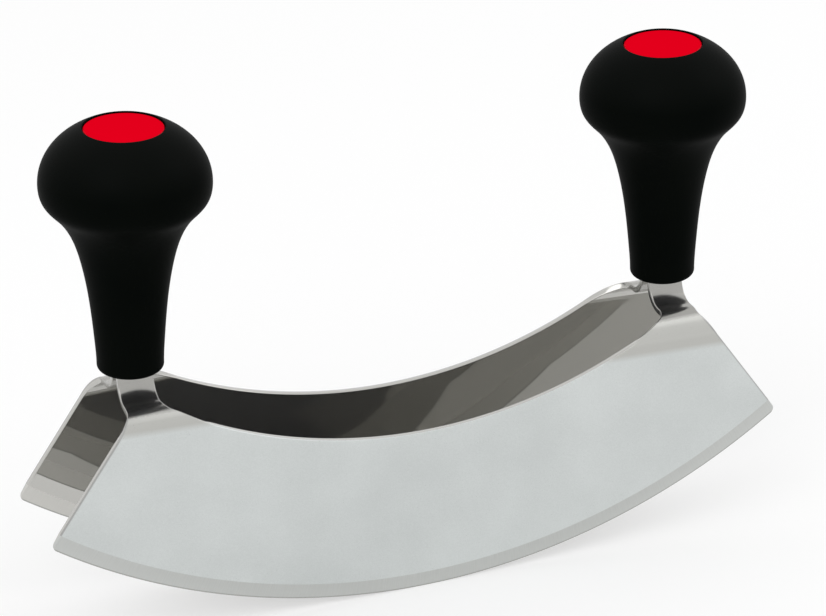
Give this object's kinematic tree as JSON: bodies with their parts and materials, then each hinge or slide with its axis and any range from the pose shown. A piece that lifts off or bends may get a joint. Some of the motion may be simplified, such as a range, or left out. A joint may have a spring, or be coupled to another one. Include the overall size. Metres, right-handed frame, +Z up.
{
  "type": "double-bladed mezzaluna",
  "caption": "Rocking herb chopper: parallel crescent blades of polished sheet, joined at each end in the foot of a black mushroom grip with a flat red cap in its top.",
  "frame": {"origin": "on the table, midway between the lowest points of the two cutting edges", "axes": "+X along the blades towards the right grip, +Y from the front blade to the rear blade, +Z up from the cutting edges to the grips"},
  "size_m": [0.2292, 0.0492, 0.1554],
  "materials": {
    "blade_steel": "polished stainless sheet with a satin ground cutting bevel",
    "grip_plastic": "black moulded plastic with a fine matt grain",
    "cap_plastic": "signal red moulded plastic, satin",
    "fixing_steel": "plain stainless fasteners"
  },
  "bodies": {
    "root": {"front_blade": "blade_steel", "rear_blade": "blade_steel", "left_grip": "grip_plastic", "left_cap": "cap_plastic", "left_stud": "fixing_steel", "left_rivets": "fixing_steel", "left_washer": "fixing_steel", "left_nut": "fixing_steel", "right_grip": "grip_plastic", "right_cap": "cap_plastic", "right_stud": "fixing_steel", "right_rivets": "fixing_steel", "right_washer": "fixing_steel", "right_nut": "fixing_steel"}
  },
  "joints": []
}
